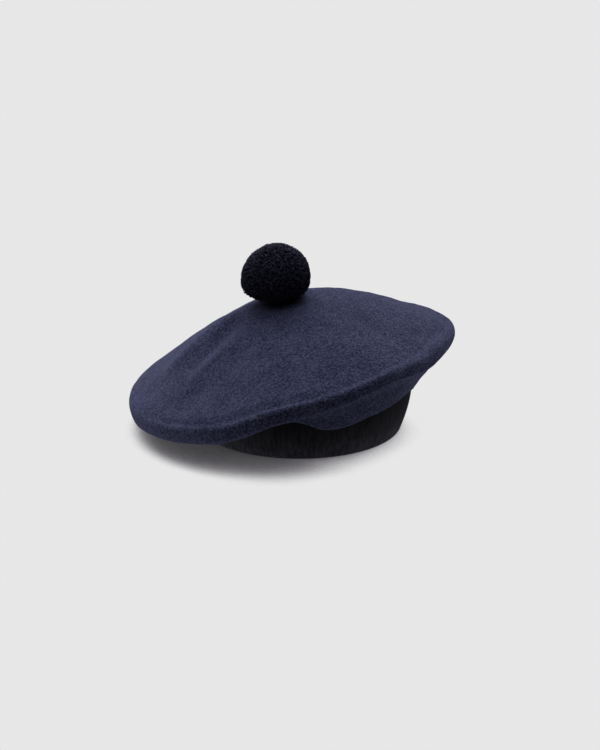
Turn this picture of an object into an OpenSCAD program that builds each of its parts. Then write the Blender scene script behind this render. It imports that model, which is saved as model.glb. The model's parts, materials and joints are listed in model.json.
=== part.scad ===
// Felt beret with a slouching blocked crown, a sewn headband, a ribbon sweatband and a yarn pompom.
// The origin is the middle of the head opening, on the plane that the hem rests on.
// +Z is up, -Y is the front, and the crown slouches towards -X.

/* [Crown] */
// Width of the crown across its rim
crown_d = 280; // [260:5:300]
// Height of the crown's top above the middle plane of its rim
dome_h = 58; // [50:1:70]
// Half the height of the blocked edge
rim_half_h = 7; // [6:0.5:9]
// Depth of the blocked edge's rounding
rim_round = 6; // [5:0.5:8]
// Slouch of the crown towards -X at rest, in degrees
slouch = 13.7; // [8:0.1:15]
// Distance that the rim's middle hangs over towards -X
crown_shift = 9; // [4:0.5:12]
// Height of the rim's middle above the resting plane
crown_lift = 51; // [49:0.5:58]
// Hollow of the crown's underside between the rim and the headband
underside_hollow = 9; // [0:1:12]
// Thickness of the wool felt
felt_t = 3; // [2:0.25:3.5]

/* [Headband] */
// Outside radius of the headband at its upper edge
band_r = 93; // [90:0.5:95]
// Height of the headband
band_h = 32.5; // [29:0.5:36]
// Distance that the hem draws in below the upper edge
hem_draw = 5.3; // [4:0.1:6]
// Gap between the headband and the crown's opening, which lets the crown tilt
tilt_gap = 2.5; // [2:0.1:3]

/* [Sweatband] */
// Width of the ribbon
ribbon_w = 26; // [20:1:27]
// Thickness of the ribbon
ribbon_t = 0.9; // [0.6:0.1:1.2]
// Width of the care label
label_w = 30; // [20:1:34]
// Height of the care label's free flap
label_h = 24; // [16:1:30]

/* [Pompom] */
// Radius of the pompom at its widest
pompom_r = 28.7; // [24:0.1:30]
// Height of the widest ring above the pivot, along the pompom's own axis
pompom_rise = 19.3; // [17:0.1:21]
// Lean of the pompom from upright towards +X, in degrees
pompom_lean = 10; // [0:1:12]
// Slope of the pompom's lower face, in degrees
pompom_base_slope = 20; // [18:1:26]
// Width of the button that anchors the pompom inside the crown
button_d = 15; // [11:0.5:18]

/* [Thread] */
// Radius of the sewing thread
thread_r = 0.3; // [0.2:0.05:0.35]
// Length of one stitch
stitch_l = 3.4; // [2.5:0.1:4]
// Radius of the cord that ties the pompom
cord_r = 0.7; // [0.5:0.1:0.8]

/* [Hidden] */

$fn = 96;
felt_navy = [0.19, 0.20, 0.31];
band_navy = [0.08, 0.08, 0.12];
ribbon_black = [0.07, 0.07, 0.09];
thread_navy = [0.12, 0.13, 0.22];
yarn_navy = [0.06, 0.06, 0.10];
label_cream = [0.86, 0.85, 0.80];
button_horn = [0.10, 0.09, 0.10];
cord_navy = [0.09, 0.09, 0.14];

// Facets of the crown: steps around it, over the dome (crowded towards its middle), round the rim
// and across the underside.
around = 44;
dome_steps = 12;
dome_crowding = 1.4;
rim_steps = 6;
underside_steps = 4;

// The crown's outline is an upright curve mixed with a soft wave, and its rim is a squared-off round.
dome_power = 2.0;
dome_wave = 0.35;
rim_squareness = 2.6;
edge_r = crown_d / 2 - rim_round;
crown_centre = [-crown_shift, 0, crown_lift];
crown_normal = [-sin(slouch), 0, cos(slouch)];
opening_r = band_r + tilt_gap;
opening_z = band_h - 1;

// Fits between pieces.
running_gap = 0.15;
ribbon_gap = 0.2;
label_gap = 0.1;
shank_gap = 0.2;
cord_gap = 0.3;

// Headband and sweatband.
hem_round = 1;
band_curve_steps = 12;
ribbon_outer_r = band_r - hem_draw - felt_t - ribbon_gap;
ribbon_inner_r = ribbon_outer_r - ribbon_t;
sweatband_stitch_n = 84;
sweatband_stitch_z = 2.5;
seam_stitch_n = 96;
join_stitch_n = 8;
join_stitch_l = 5;
join_margin = 4.5;

// Care label.
label_t = 0.6;
label_stitch_n = 6;
label_y = ribbon_inner_r - label_t - label_gap;

// Tie, button and pompom, on the axis through the crown's top.
tie_spacing = 1.5;
tie_hole_r = tie_spacing + cord_r + cord_gap;
button_t = 2.2;
button_rim = 0.5;
button_hole_r = cord_r + running_gap;
// How far the dome has dropped a little beyond the button's edge.
button_share = 1.3 * button_d / 2 / edge_r;
button_drop = (dome_h - rim_half_h) * (1 - dome_rise(button_share));
button_top = -felt_t - running_gap - button_drop;
button_bottom = button_top - button_t;
knot_r = 2.1;
shank_r = 2.4;
shank_pocket_r = shank_r + shank_gap;
pivot_h = shank_pocket_r;
binding_ring_r = tie_spacing + 1;
binding_pocket_r = binding_ring_r + cord_r + cord_gap;
binding_pocket_h = cord_r + cord_gap;
channel_r = tie_spacing + cord_r + 1.3 * cord_gap;
pompom_lip = 1;
pompom_shoulder = 0.55;
pompom_steps = 20;
shoulder_steps = 6;

// ---- Shared shapes ----

function squared(v) = sign(v) * pow(abs(v), 2 / rim_squareness);

function mix(a, b, t) = a * (1 - t) + b * t;

// Height of the dome at a share x of its radius, from 1 at the middle to 0 at the edge.
function dome_rise(x) =
    (1 - dome_wave) * (1 - pow(x, dome_power)) + dome_wave * (1 + cos(180 * x)) / 2;

// A point of the slouching crown, from its radius, height and angle in the crown's own frame.
function leaned(r, z, a) =
    crown_centre + [
        r * cos(a) * cos(slouch) - z * sin(slouch),
        r * sin(a),
        r * cos(a) * sin(slouch) + z * cos(slouch)
    ];

// Outside radius of the headband at height z.
function band_outer_r(z) = band_r - hem_draw * pow(1 - z / band_h, 2);

// Faces of a closed tube of n rings with m points each.
function tube_faces(n, m) = [
    for (i = [0 : n - 1])
        for (j = [0 : m - 1])
            let (a = i * m + j, b = i * m + (j + 1) % m)
                let (c = ((i + 1) % n) * m + (j + 1) % m, d = ((i + 1) % n) * m + j)
                    each [[a, b, c], [a, c, d]]
];

// Places its children at the crown's top, with +Z along the crown's normal.
module at_crown_top() {
    translate(crown_centre)
        rotate([0, -slouch, 0])
            translate([0, 0, dome_h])
                children();
}

// Places its children at the pompom's pivot, with +Z along the pompom's own axis.
module at_pompom() {
    at_crown_top()
        translate([0, 0, pivot_h])
            rotate([0, slouch + pompom_lean, 0])
                children();
}

// Places its children on the inner wall of the ribbon or band, at radius r, angle a and height z,
// with +X along the wall.
module on_wall(r, a, z) {
    rotate([0, 0, a])
        translate([r, 0, z])
            rotate([0, 0, 90])
                children();
}

// One straight stitch along X, of length l, with rounded ends.
module stitch(l) {
    rotate([0, 90, 0])
        cylinder(r = thread_r, h = l - 2 * thread_r, center = true, $fn = 16);
    for (side = [-1, 1])
        translate([side * (l / 2 - thread_r), 0, 0])
            sphere(r = thread_r, $fn = 16);
}

// ---- Headband ----

module headband() {
    top_z = band_h - hem_round;
    outer = [for (i = [0 : band_curve_steps])
        let (z = mix(hem_round, top_z, i / band_curve_steps)) [band_outer_r(z), z]];
    inner = [for (i = [band_curve_steps : -1 : 0])
        let (z = mix(hem_round, top_z, i / band_curve_steps)) [band_outer_r(z) - felt_t, z]];
    color(band_navy)
        rotate_extrude($fn = 128)
            polygon(concat(
                hem_arc(band_outer_r(hem_round) - hem_round, hem_round, -90, 0),
                outer,
                hem_arc(band_outer_r(top_z) - hem_round, top_z, 0, 90),
                hem_arc(band_outer_r(top_z) - felt_t + hem_round, top_z, 90, 180),
                inner,
                hem_arc(band_outer_r(hem_round) - felt_t + hem_round, hem_round, 180, 270)
            ));
}

// Points strictly between the ends of a rounding, plus the end that lies on a flat edge.
function hem_arc(r, z, from, to) = [
    for (i = [0 : 4])
        let (a = mix(from, to, i / 4))
            if (abs(cos(a)) < 0.999)
                [r + hem_round * cos(a), z + hem_round * sin(a)]
];

module headband_join_stitches() {
    color(thread_navy)
        for (i = [0 : join_stitch_n - 1]) {
            z = mix(join_margin, band_h - join_margin, i / (join_stitch_n - 1));
            on_wall(band_outer_r(z) - felt_t + thread_r / 2, 90, z)
                rotate([0, i % 2 == 0 ? 12 : -12, 0])
                    stitch(join_stitch_l);
        }
}

module band_seam_stitches() {
    seam_z = band_h - 2 * hem_round;
    color(thread_navy)
        for (i = [0 : seam_stitch_n - 1])
            on_wall(band_outer_r(seam_z) - felt_t + thread_r / 2, 360 * i / seam_stitch_n, seam_z)
                rotate([0, 35, 0])
                    stitch(stitch_l);
}

// ---- Sweatband ----

module sweatband() {
    color(ribbon_black)
        difference() {
            cylinder(r = ribbon_outer_r, h = ribbon_w, $fn = 128);
            translate([0, 0, -1])
                cylinder(r = ribbon_inner_r, h = ribbon_w + 2, $fn = 128);
        }
}

module sweatband_stitches() {
    color(thread_navy)
        for (i = [0 : sweatband_stitch_n - 1])
            on_wall(ribbon_inner_r + ribbon_t / 2, 360 * (i + 0.5) / sweatband_stitch_n, sweatband_stitch_z)
                stitch(stitch_l);
}

module sweatband_join_stitches() {
    color(thread_navy)
        for (i = [0 : join_stitch_n - 1]) {
            z = mix(1.5 * join_margin, ribbon_w - join_margin, i / (join_stitch_n - 1));
            on_wall(ribbon_inner_r + ribbon_t / 2, 90, z)
                rotate([0, i % 2 == 0 ? 30 : -30, 0])
                    stitch(stitch_l);
        }
}

// The free flap of the label, which stands above the ribbon and folds inwards about its lower edge.
module care_label() {
    fold_r = label_t / 2;
    color(label_cream)
        translate([0, label_y, ribbon_w + running_gap])
            union() {
                translate([-label_w / 2, 0, fold_r])
                    cube([label_w, label_t, label_h - fold_r]);
                translate([-label_w / 2, fold_r, fold_r])
                    rotate([0, 90, 0])
                        cylinder(r = fold_r, h = label_w, $fn = 32);
            }
}

module care_label_stitches() {
    row_angle = label_w / ribbon_inner_r * 180 / PI;
    color(thread_navy)
        for (i = [0 : label_stitch_n - 1])
            on_wall(ribbon_inner_r + ribbon_t / 2, 90 + row_angle * ((i + 0.5) / label_stitch_n - 0.5),
                    ribbon_w - 2 * thread_r)
                stitch(stitch_l);
}

// ---- Crown ----

// The rings of one skin of the crown, from the hole in its top, over the dome and round the rim,
// to its opening. Skin 0 is the outside, and a positive inset gives the inside.
function crown_skin(inset) =
    let (hole_share = tie_hole_r / edge_r)
    let (rim_base = [for (a = crown_angles()) leaned(edge_r, inset - rim_half_h, a)])
    concat(
        [for (i = [0 : dome_steps])
            let (x = mix(hole_share, 1, pow(i / dome_steps, dome_crowding)))
                [for (a = crown_angles())
                    leaned(x * edge_r, rim_half_h + (dome_h - rim_half_h) * dome_rise(x) - inset, a)]],
        [for (i = [1 : rim_steps])
            let (t = 90 - 180 * i / rim_steps)
                [for (a = crown_angles())
                    leaned(edge_r + (rim_round - inset) * squared(cos(t)),
                           (rim_half_h - inset) * squared(sin(t)), a)]],
        [for (i = [1 : underside_steps])
            let (t = i / underside_steps)
                [for (j = [0 : around - 1])
                    mix(rim_base[j], opening_point(360 * j / around, inset), t)
                    + crown_normal * underside_hollow * 4 * t * (1 - t)]]
    );

function crown_angles() = [for (j = [0 : around - 1]) 360 * j / around];

function opening_point(a, inset) = [opening_r * cos(a), opening_r * sin(a), opening_z + inset];

module crown() {
    outside = crown_skin(0);
    inside = crown_skin(felt_t);
    rings = concat(outside, [for (i = [len(inside) - 1 : -1 : 0]) inside[i]]);
    color(felt_navy)
        polyhedron(points = [for (ring = rings) each ring], faces = tube_faces(len(rings), around),
                   convexity = 6);
}

// ---- Pompom and its tie ----

module backing_button() {
    color(button_horn)
        at_crown_top()
            difference() {
                translate([0, 0, button_bottom])
                    rotate_extrude($fn = 64)
                        polygon([
                            [0, button_rim], [button_d / 2 - 3 * button_rim, button_rim],
                            [button_d / 2 - 2 * button_rim, 0], [button_d / 2 - button_rim, 0],
                            [button_d / 2, button_rim], [button_d / 2, button_t - button_rim],
                            [button_d / 2 - button_rim, button_t], [0, button_t]
                        ]);
                for (side = [-1, 1])
                    translate([side * tie_spacing, 0, button_bottom - 1])
                        cylinder(r = button_hole_r, h = button_t + 2, $fn = 32);
            }
}

// Two cords that run from the pompom's foot, through the felt and the button, to the knot.
module tie_tails() {
    color(cord_navy)
        at_crown_top()
            for (side = [-1, 1])
                translate([side * tie_spacing, 0, button_bottom])
                    cylinder(r = cord_r, h = -button_bottom, $fn = 32);
}

module tie_knot() {
    color(cord_navy)
        at_crown_top()
            translate([0, 0, button_bottom - cord_r])
                union() {
                    for (side = [-1, 1])
                        translate([side * tie_spacing, 0, 0])
                            sphere(r = cord_r, $fn = 32);
                    rotate([0, 90, 0])
                        cylinder(r = cord_r, h = 2 * tie_spacing, center = true, $fn = 32);
                    translate([0, 0, -knot_r * 0.8])
                        sphere(r = knot_r, $fn = 48);
                }
}

// The thread that is wound round the cords under the pompom, as a ball about the pivot.
module thread_shank() {
    color(thread_navy)
        at_crown_top()
            translate([0, 0, pivot_h])
                sphere(r = shank_r, $fn = 48);
}

// The loop of cord round the yarn's waist, and its two strands down to the shank.
module tie_binding() {
    strand_z = shank_pocket_r;
    color(cord_navy)
        at_pompom()
            union() {
                translate([0, 0, pompom_rise])
                    rotate_extrude($fn = 64)
                        translate([binding_ring_r, 0])
                            circle(r = cord_r, $fn = 32);
                for (side = [-1, 1])
                    translate([side * tie_spacing, 0, strand_z])
                        cylinder(r = cord_r, h = pompom_rise - strand_z + cord_r, $fn = 32);
            }
}

// Half outline of the pompom: a round top, a full shoulder and a coned foot, with a hollow core
// that holds the tie's strands, its loop and the shank.
module pompom_yarn() {
    foot_r = channel_r + pompom_lip;
    foot_z = foot_r * tan(pompom_base_slope);
    shoulder_r = pompom_shoulder * pompom_r;
    shoulder_z = shoulder_r * tan(pompom_base_slope);
    core_top = pompom_rise + binding_pocket_h;
    color(yarn_navy)
        at_pompom()
            rotate_extrude($fn = 96)
                polygon(concat(
                    [[channel_r, foot_z], [foot_r, foot_z]],
                    [for (i = [0 : shoulder_steps - 1])
                        let (a = -90 + 90 * i / shoulder_steps)
                            [shoulder_r + (pompom_r - shoulder_r) * cos(a),
                             pompom_rise + (pompom_rise - shoulder_z) * sin(a)]],
                    [for (i = [0 : pompom_steps])
                        let (a = 90 * i / pompom_steps)
                            [pompom_r * cos(a), pompom_rise + pompom_r * sin(a)]],
                    [[0, core_top], [binding_pocket_r, core_top],
                     [binding_pocket_r, core_top - 2 * binding_pocket_h],
                     [channel_r, core_top - 2 * binding_pocket_h]]
                ));
}

headband();
headband_join_stitches();
band_seam_stitches();
sweatband();
sweatband_stitches();
sweatband_join_stitches();
care_label();
care_label_stitches();
crown();
backing_button();
tie_tails();
tie_knot();
thread_shank();
tie_binding();
pompom_yarn();
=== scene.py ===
"""A navy felt beret with a yarn pompom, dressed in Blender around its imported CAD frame.

Sizes are in millimetres until make_mesh() turns them into metres. The frame is the CAD's: +Z is up,
-Y is the front, and the crown slouches towards -X.
"""
import json
import math

import bpy
import numpy as np
from mathutils import Matrix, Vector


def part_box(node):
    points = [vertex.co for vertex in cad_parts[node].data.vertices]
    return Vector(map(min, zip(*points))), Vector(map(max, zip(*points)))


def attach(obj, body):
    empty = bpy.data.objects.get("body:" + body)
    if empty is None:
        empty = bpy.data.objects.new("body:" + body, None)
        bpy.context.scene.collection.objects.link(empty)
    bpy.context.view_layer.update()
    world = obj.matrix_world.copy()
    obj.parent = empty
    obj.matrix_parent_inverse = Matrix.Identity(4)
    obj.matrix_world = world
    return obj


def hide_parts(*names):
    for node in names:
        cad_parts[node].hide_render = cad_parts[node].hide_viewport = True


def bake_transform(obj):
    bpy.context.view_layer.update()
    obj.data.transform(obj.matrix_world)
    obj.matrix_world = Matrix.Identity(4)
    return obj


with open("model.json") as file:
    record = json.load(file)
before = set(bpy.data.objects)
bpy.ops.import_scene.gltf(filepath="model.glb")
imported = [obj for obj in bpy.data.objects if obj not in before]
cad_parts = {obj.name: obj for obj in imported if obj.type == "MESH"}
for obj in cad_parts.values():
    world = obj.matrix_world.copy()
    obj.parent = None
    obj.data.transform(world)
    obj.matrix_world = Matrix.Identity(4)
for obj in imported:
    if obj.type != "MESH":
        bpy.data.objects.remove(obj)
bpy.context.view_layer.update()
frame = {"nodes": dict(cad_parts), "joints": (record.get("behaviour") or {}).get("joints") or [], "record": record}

MM = 0.001
TAU = 2 * math.pi


# ---------------------------------------------------------------- what the frame says

def joint(name):
    """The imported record's joint of that name."""
    return next(j for j in frame["joints"] if j["name"] == name)


def joint_place(name):
    """A joint's position, in millimetres."""
    return np.array(joint(name)["pos_m"]) / MM


def box_mm(node):
    """A CAD node's lowest and highest corners, in millimetres."""
    low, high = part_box(node)
    return np.array(low) / MM, np.array(high) / MM


CROWN_TOP = joint_place("pompom_twist")
CROWN_NORMAL = np.array(joint("pompom_twist")["axis"])
POMPOM_PIVOT = joint_place("pompom_nod")
LABEL_FOLD = joint_place("label_fold")
CROWN_R = box_mm("crown")[1][1]
BAND_R = box_mm("headband")[1][0]
BAND_H = box_mm("headband")[1][2]
RIBBON_H = box_mm("sweatband")[1][2]
RIBBON_R = next(m for m in frame["record"]["mounts"] if m["name"] == "head_opening")["dims"]["r_mm"]
LABEL_LOW, LABEL_HIGH = box_mm("care_label")
BUTTON_LOW, BUTTON_HIGH = box_mm("backing_button")

# ---------------------------------------------------------------- sizes of the felt

FELT_T = 3.0
RIM_ROUND = 6.3
CROWN_RISE = 58.0
DOME_POWER = 2.2
DOME_POWER_MORE_RIGHT = 0.217
DOME_POWER_MORE_BACK = 0.014
DOME_WAVE = 0.276
DOME_WAVE_LESS_RIGHT = 0.066
DOME_WAVE_LESS_BACK = 0.046
RIM_HALF_H = 6.85
RIM_THICKER_LEFT = 2.2
RIM_SQUARENESS = 2.6
UNDERSIDE_HOLLOW = 11.4
HEM_DRAW = 6.0
BAND_LEAN = 2.7
TIE_HOLE_R = 2.4

CROWN_CENTRE = CROWN_TOP - CROWN_NORMAL * CROWN_RISE
CROWN_X = np.array([CROWN_NORMAL[2], 0.0, -CROWN_NORMAL[0]])
CROWN_Y = np.array([0.0, 1.0, 0.0])


# ---------------------------------------------------------------- small tools

def smoothstep(low, high, value):
    """0 up to low, 1 from high on, and a smooth rise between."""
    t = np.clip((value - low) / (high - low), 0, 1)
    return t * t * (3 - 2 * t)


def make_mesh(name, points, faces, smooth=True):
    """A mesh object from points in millimetres and a list of faces."""
    mesh = bpy.data.meshes.new(name)
    mesh.from_pydata((np.asarray(points) * MM).tolist(), [], faces)
    mesh.validate()
    if smooth:
        mesh.polygons.foreach_set("use_smooth", [True] * len(mesh.polygons))
    mesh.update()
    piece = bpy.data.objects.new(name, mesh)
    bpy.context.scene.collection.objects.link(piece)
    return piece


def grid_faces(rows, columns, wrap_rows=False):
    """Quads of a grid whose columns close into rings, and whose rows may close too."""
    faces = []
    last = rows if wrap_rows else rows - 1
    for i in range(last):
        a = i * columns
        b = ((i + 1) % rows) * columns
        for j in range(columns):
            k = (j + 1) % columns
            faces.append((a + j, b + j, b + k, a + k))
    return faces


def carried_sides(along):
    """Two unit directions across a path at each point, carried along it without a twist."""
    guide = np.array([0.0, 0.0, 1.0]) if abs(along[0][2]) < 0.9 else np.array([1.0, 0.0, 0.0])
    side = np.zeros_like(along)
    for i, way in enumerate(along):
        guide = guide - way * (guide @ way)
        guide /= np.linalg.norm(guide)
        side[i] = guide
    return side, np.cross(along, side)


def tube(path, radius, sides=8, closed=False):
    """Points and faces of a round tube along a path; radius is one number or one per point."""
    path = np.asarray(path, float)
    n = len(path)
    if closed:
        ahead, behind = np.roll(path, -1, 0), np.roll(path, 1, 0)
    else:
        ahead = np.vstack([path[1:], path[-1:]])
        behind = np.vstack([path[:1], path[:-1]])
    along = ahead - behind
    along /= np.linalg.norm(along, axis=1)[:, None]
    side, up = carried_sides(along)
    angles = np.arange(sides) * TAU / sides
    radius = np.broadcast_to(np.asarray(radius, float), (n,))
    rings = (path[:, None, :] + radius[:, None, None]
             * (np.cos(angles)[None, :, None] * side[:, None, :]
                + np.sin(angles)[None, :, None] * up[:, None, :]))
    points = rings.reshape(-1, 3)
    faces = grid_faces(n, sides, wrap_rows=closed)
    if not closed:
        faces.append(tuple(range(sides)))
        faces.append(tuple(range(n * sides - 1, (n - 1) * sides - 1, -1)))
    return points, faces


def join_parts(parts):
    """One list of points and faces from several."""
    points, faces, start = [], [], 0
    for part_points, part_faces in parts:
        points.append(part_points)
        faces += [tuple(v + start for v in face) for face in part_faces]
        start += len(part_points)
    return np.vstack(points), faces


def dress(name, node, body, parts, material):
    """Joins parts into one piece that dresses a node and rides on its body."""
    points, faces = join_parts(parts)
    piece = make_mesh(name, points, faces)
    piece.data.materials.append(material)
    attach(piece, body)
    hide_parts(node)


def dye(node, material):
    """Gives a CAD node that shows as it is its material."""
    piece = frame["nodes"][node]
    piece.data.materials.clear()
    piece.data.materials.append(material)


PLY_OFFSET = 0.5
PLY_R = 0.56


def twisted(path, radius, plies, turns, sides=6, closed=False):
    """Strands wound round each other along a path, as a cord or a thread is."""
    path = np.asarray(path, float)
    n = len(path)
    ahead = np.roll(path, -1, 0) if closed else np.vstack([path[1:], 2 * path[-1:] - path[-2:-1]])
    along = ahead - path
    along /= np.linalg.norm(along, axis=1)[:, None]
    side, up = carried_sides(along)
    share = np.arange(n) / (n if closed else n - 1)
    parts = []
    for ply in range(plies):
        angle = (turns * share + ply / plies) * TAU
        offset = radius * PLY_OFFSET * (np.cos(angle)[:, None] * side + np.sin(angle)[:, None] * up)
        parts.append(tube(path + offset, radius * PLY_R, sides, closed))
    return join_parts(parts)


WAVES_PER_OCTAVE = 9


def soft_noise(points, size, seed, octaves=2):
    """Smooth noise of about -1 to 1 at each point, from a few seeded waves; size is its grain in mm."""
    rng = np.random.default_rng(seed)
    total = np.zeros(len(points))
    weight = 1.0
    scale_sum = 0.0
    for octave in range(octaves):
        for _ in range(WAVES_PER_OCTAVE):
            direction = rng.normal(size=3)
            direction /= np.linalg.norm(direction)
            frequency = TAU / size * (2 ** octave) * rng.uniform(0.6, 1.3)
            total += weight * np.sin(points @ direction * frequency + rng.uniform(0, TAU))
        scale_sum += weight * math.sqrt(WAVES_PER_OCTAVE / 2)
        weight *= 0.5
    return total / scale_sum / 1.6


# ---------------------------------------------------------------- materials

def new_material(name, roughness, sheen=0.0, sheen_tint=(1, 1, 1), specular=0.25):
    """A material with its Principled shader; returns the material, its tree and the shader."""
    material = bpy.data.materials.new(name)
    material.use_nodes = True
    tree = material.node_tree
    shader = tree.nodes["Principled BSDF"]
    shader.inputs["Roughness"].default_value = roughness
    shader.inputs["Specular IOR Level"].default_value = specular
    shader.inputs["Sheen Weight"].default_value = sheen
    shader.inputs["Sheen Roughness"].default_value = 0.5
    shader.inputs["Sheen Tint"].default_value = (*sheen_tint, 1)
    return material, tree, shader


def place_node(tree):
    """Object coordinates in millimetres."""
    coordinates = tree.nodes.new("ShaderNodeTexCoord")
    scale = tree.nodes.new("ShaderNodeVectorMath")
    scale.operation = "SCALE"
    scale.inputs["Scale"].default_value = 1 / MM
    tree.links.new(coordinates.outputs["Object"], scale.inputs[0])
    return scale.outputs[0]


def noise_node(tree, place, size, detail=2.0, rough=0.5, distortion=0.0):
    """Noise whose grain is about size millimetres."""
    noise = tree.nodes.new("ShaderNodeTexNoise")
    noise.inputs["Scale"].default_value = 1 / size
    noise.inputs["Detail"].default_value = detail
    noise.inputs["Roughness"].default_value = rough
    noise.inputs["Distortion"].default_value = distortion
    tree.links.new(place, noise.inputs["Vector"])
    return noise.outputs["Fac"]


def maths(tree, operation, a, b=None):
    """A Math node; a and b are sockets or numbers."""
    node = tree.nodes.new("ShaderNodeMath")
    node.operation = operation
    for socket, value in zip(node.inputs, (a, b)):
        if value is None:
            continue
        if isinstance(value, (int, float)):
            socket.default_value = value
        else:
            tree.links.new(value, socket)
    return node.outputs[0]


def blended(tree, *layers):
    """The sum of (socket, weight) layers."""
    weighted = [maths(tree, "MULTIPLY", socket, weight) for socket, weight in layers]
    total = weighted[0]
    for layer in weighted[1:]:
        total = maths(tree, "ADD", total, layer)
    return total


def axes_node(tree, place):
    """A place's X, Y and Z as separate outputs."""
    split = tree.nodes.new("ShaderNodeSeparateXYZ")
    tree.links.new(place, split.inputs[0])
    return split.outputs


def ramp(tree, value, stops):
    """A colour ramp; stops are (position, colour)."""
    node = tree.nodes.new("ShaderNodeValToRGB")
    points = node.color_ramp.elements
    points[0].position, points[0].color = stops[0][0], (*stops[0][1], 1)
    points[1].position, points[1].color = stops[-1][0], (*stops[-1][1], 1)
    for position, colour in stops[1:-1]:
        points.new(position).color = (*colour, 1)
    tree.links.new(value, node.inputs["Fac"])
    return node.outputs["Color"]


def grey(value):
    """A colour without hue."""
    return (value, value, value)


def multiplied(tree, colour, shade):
    """A colour darkened by another colour."""
    mix = tree.nodes.new("ShaderNodeMix")
    mix.data_type = "RGBA"
    mix.blend_type = "MULTIPLY"
    mix.inputs["Factor"].default_value = 1.0
    tree.links.new(colour, mix.inputs["A"])
    tree.links.new(shade, mix.inputs["B"])
    return mix.outputs["Result"]


def bump(tree, shader, height, distance, strength=1.0):
    """Bump of a height socket, where one unit of height is distance millimetres."""
    node = tree.nodes.new("ShaderNodeBump")
    node.inputs["Strength"].default_value = strength
    node.inputs["Distance"].default_value = distance * MM
    tree.links.new(height, node.inputs["Height"])
    tree.links.new(node.outputs["Normal"], shader.inputs["Normal"])


def stretched(tree, place, scale):
    """A place scaled differently along its axes, which stretches the grain."""
    mapping = tree.nodes.new("ShaderNodeMapping")
    mapping.inputs["Scale"].default_value = scale
    tree.links.new(place, mapping.inputs["Vector"])
    return mapping.outputs["Vector"]


FIBRE_SHARPNESS = 14.0


def fibres(tree, place, size):
    """Curling fibre lines, near 1 on a fibre and 0 between, from the mid levels of a warped noise."""
    noise = noise_node(tree, place, size, detail=1.5, rough=0.6, distortion=1.6)
    away = maths(tree, "ABSOLUTE", maths(tree, "SUBTRACT", noise, 0.5))
    line = maths(tree, "SUBTRACT", 1.0, maths(tree, "MULTIPLY", away, FIBRE_SHARPNESS))
    return maths(tree, "MAXIMUM", line, 0.0)


# How far the painted shade in the felt's recesses and creases reaches, in mm.
CREVICE_SHADE_REACH = 70.0


def felt_material(name, dark, middle, light, sheen):
    """Fulled wool: matted curly fibres of slightly different blues, a soft nap and a faint sheen, with painted
    shade that darkens its colour in recesses and creases.
    """
    material, tree, shader = new_material(name, 1.0, sheen, (0.50, 0.54, 0.95), specular=0.08)
    place = place_node(tree)
    matted = noise_node(tree, place, 1.8, detail=1.2, rough=0.6)
    tufted = noise_node(tree, place, 3.4, detail=2)
    cloudy = noise_node(tree, place, 19, detail=3)
    fine_curls = maths(tree, "MULTIPLY", fibres(tree, place, 2.4), 0.8)
    curls = maths(tree, "MAXIMUM", fibres(tree, place, 3.4), fine_curls)
    tone = blended(tree, (matted, 0.58), (tufted, 0.14), (cloudy, 0.16), (curls, 0.14))
    colour = ramp(tree, tone, [(0.37, dark), (0.49, middle), (0.61, light)])
    # Painted shade: the felt's colour is darkened where the surface is enclosed, in recesses, creases and under
    # the rim.
    crevice_shade_ao = tree.nodes.new("ShaderNodeAmbientOcclusion")
    crevice_shade_ao.samples = 12
    crevice_shade_ao.inputs["Distance"].default_value = CREVICE_SHADE_REACH * MM
    depth = ramp(tree, crevice_shade_ao.outputs["AO"], [(0.20, (0.20, 0.20, 0.22)), (0.50, grey(1.0))])
    tree.links.new(multiplied(tree, colour, depth), shader.inputs["Base Color"])
    bump(tree, shader, blended(tree, (matted, 0.9), (curls, 0.4)), 0.9)
    return material


def rib_material():
    """Fine ribbed wool jersey, near black, with painted light that makes it paler towards the hem and painted
    shade that darkens it towards the top, under the crown.
    """
    material, tree, shader = new_material("band_jersey", 0.95, 0.05, (0.7, 0.7, 0.95), specular=0.1)
    place = place_node(tree)
    matted = noise_node(tree, place, 0.8, detail=3, rough=0.6)
    cloudy = noise_node(tree, place, 12, detail=2)
    ribs = noise_node(tree, stretched(tree, place, (1.0, 1.0, 0.12)), 2.0, detail=1)
    tone = blended(tree, (matted, 0.4), (cloudy, 0.2), (ribs, 0.4))
    colour = ramp(tree, tone, [(0.38, (0.016, 0.0162, 0.021)), (0.62, (0.060, 0.061, 0.078))])
    # Painted light and shade by height: the jersey is painted paler at the hem and darker under the crown's
    # overhang.
    height = maths(tree, "DIVIDE", axes_node(tree, place)["Z"], BAND_H)
    painted_hem_light = ramp(tree, height, [(0.0, grey(1.0)), (0.25, grey(0.76)), (0.6, grey(0.42)), (1.0, grey(0.2))])
    tree.links.new(multiplied(tree, colour, painted_hem_light), shader.inputs["Base Color"])
    bump(tree, shader, matted, 0.35)
    return material


def yarn_material():
    """Cut wool yarn, near black with a trace of blue; painted light makes its ends paler on the top, and painted
    shade darkens them below.
    """
    material, tree, shader = new_material("pompom_yarn", 0.9, 0.20, (0.5, 0.52, 0.85), specular=0.1)
    place = place_node(tree)
    ends = noise_node(tree, place, 3.0, detail=2, rough=0.7)
    hairs = fibres(tree, place, 0.7)
    colour = ramp(tree, blended(tree, (ends, 0.8), (hairs, 0.2)),
                  [(0.36, (0.004, 0.004, 0.009)), (0.5, (0.030, 0.031, 0.060)),
                   (0.64, (0.150, 0.153, 0.265))])
    # Painted light and shade: the yarn's colour is scaled by height in the ball, pale at the top and near black at
    # the bottom.
    above = maths(tree, "SUBTRACT", axes_node(tree, place)["Z"], pompom_centre()[2])
    height = maths(tree, "DIVIDE", above, POMPOM_R)
    share = maths(tree, "ADD", maths(tree, "MULTIPLY", height, 0.5), 0.5)
    fade = ramp(tree, share, [(0.2, grey(0.05)), (0.48, grey(0.46)), (0.85, grey(1.0))])
    tree.links.new(multiplied(tree, colour, fade), shader.inputs["Base Color"])
    bump(tree, shader, hairs, 0.25)
    return material


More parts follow.
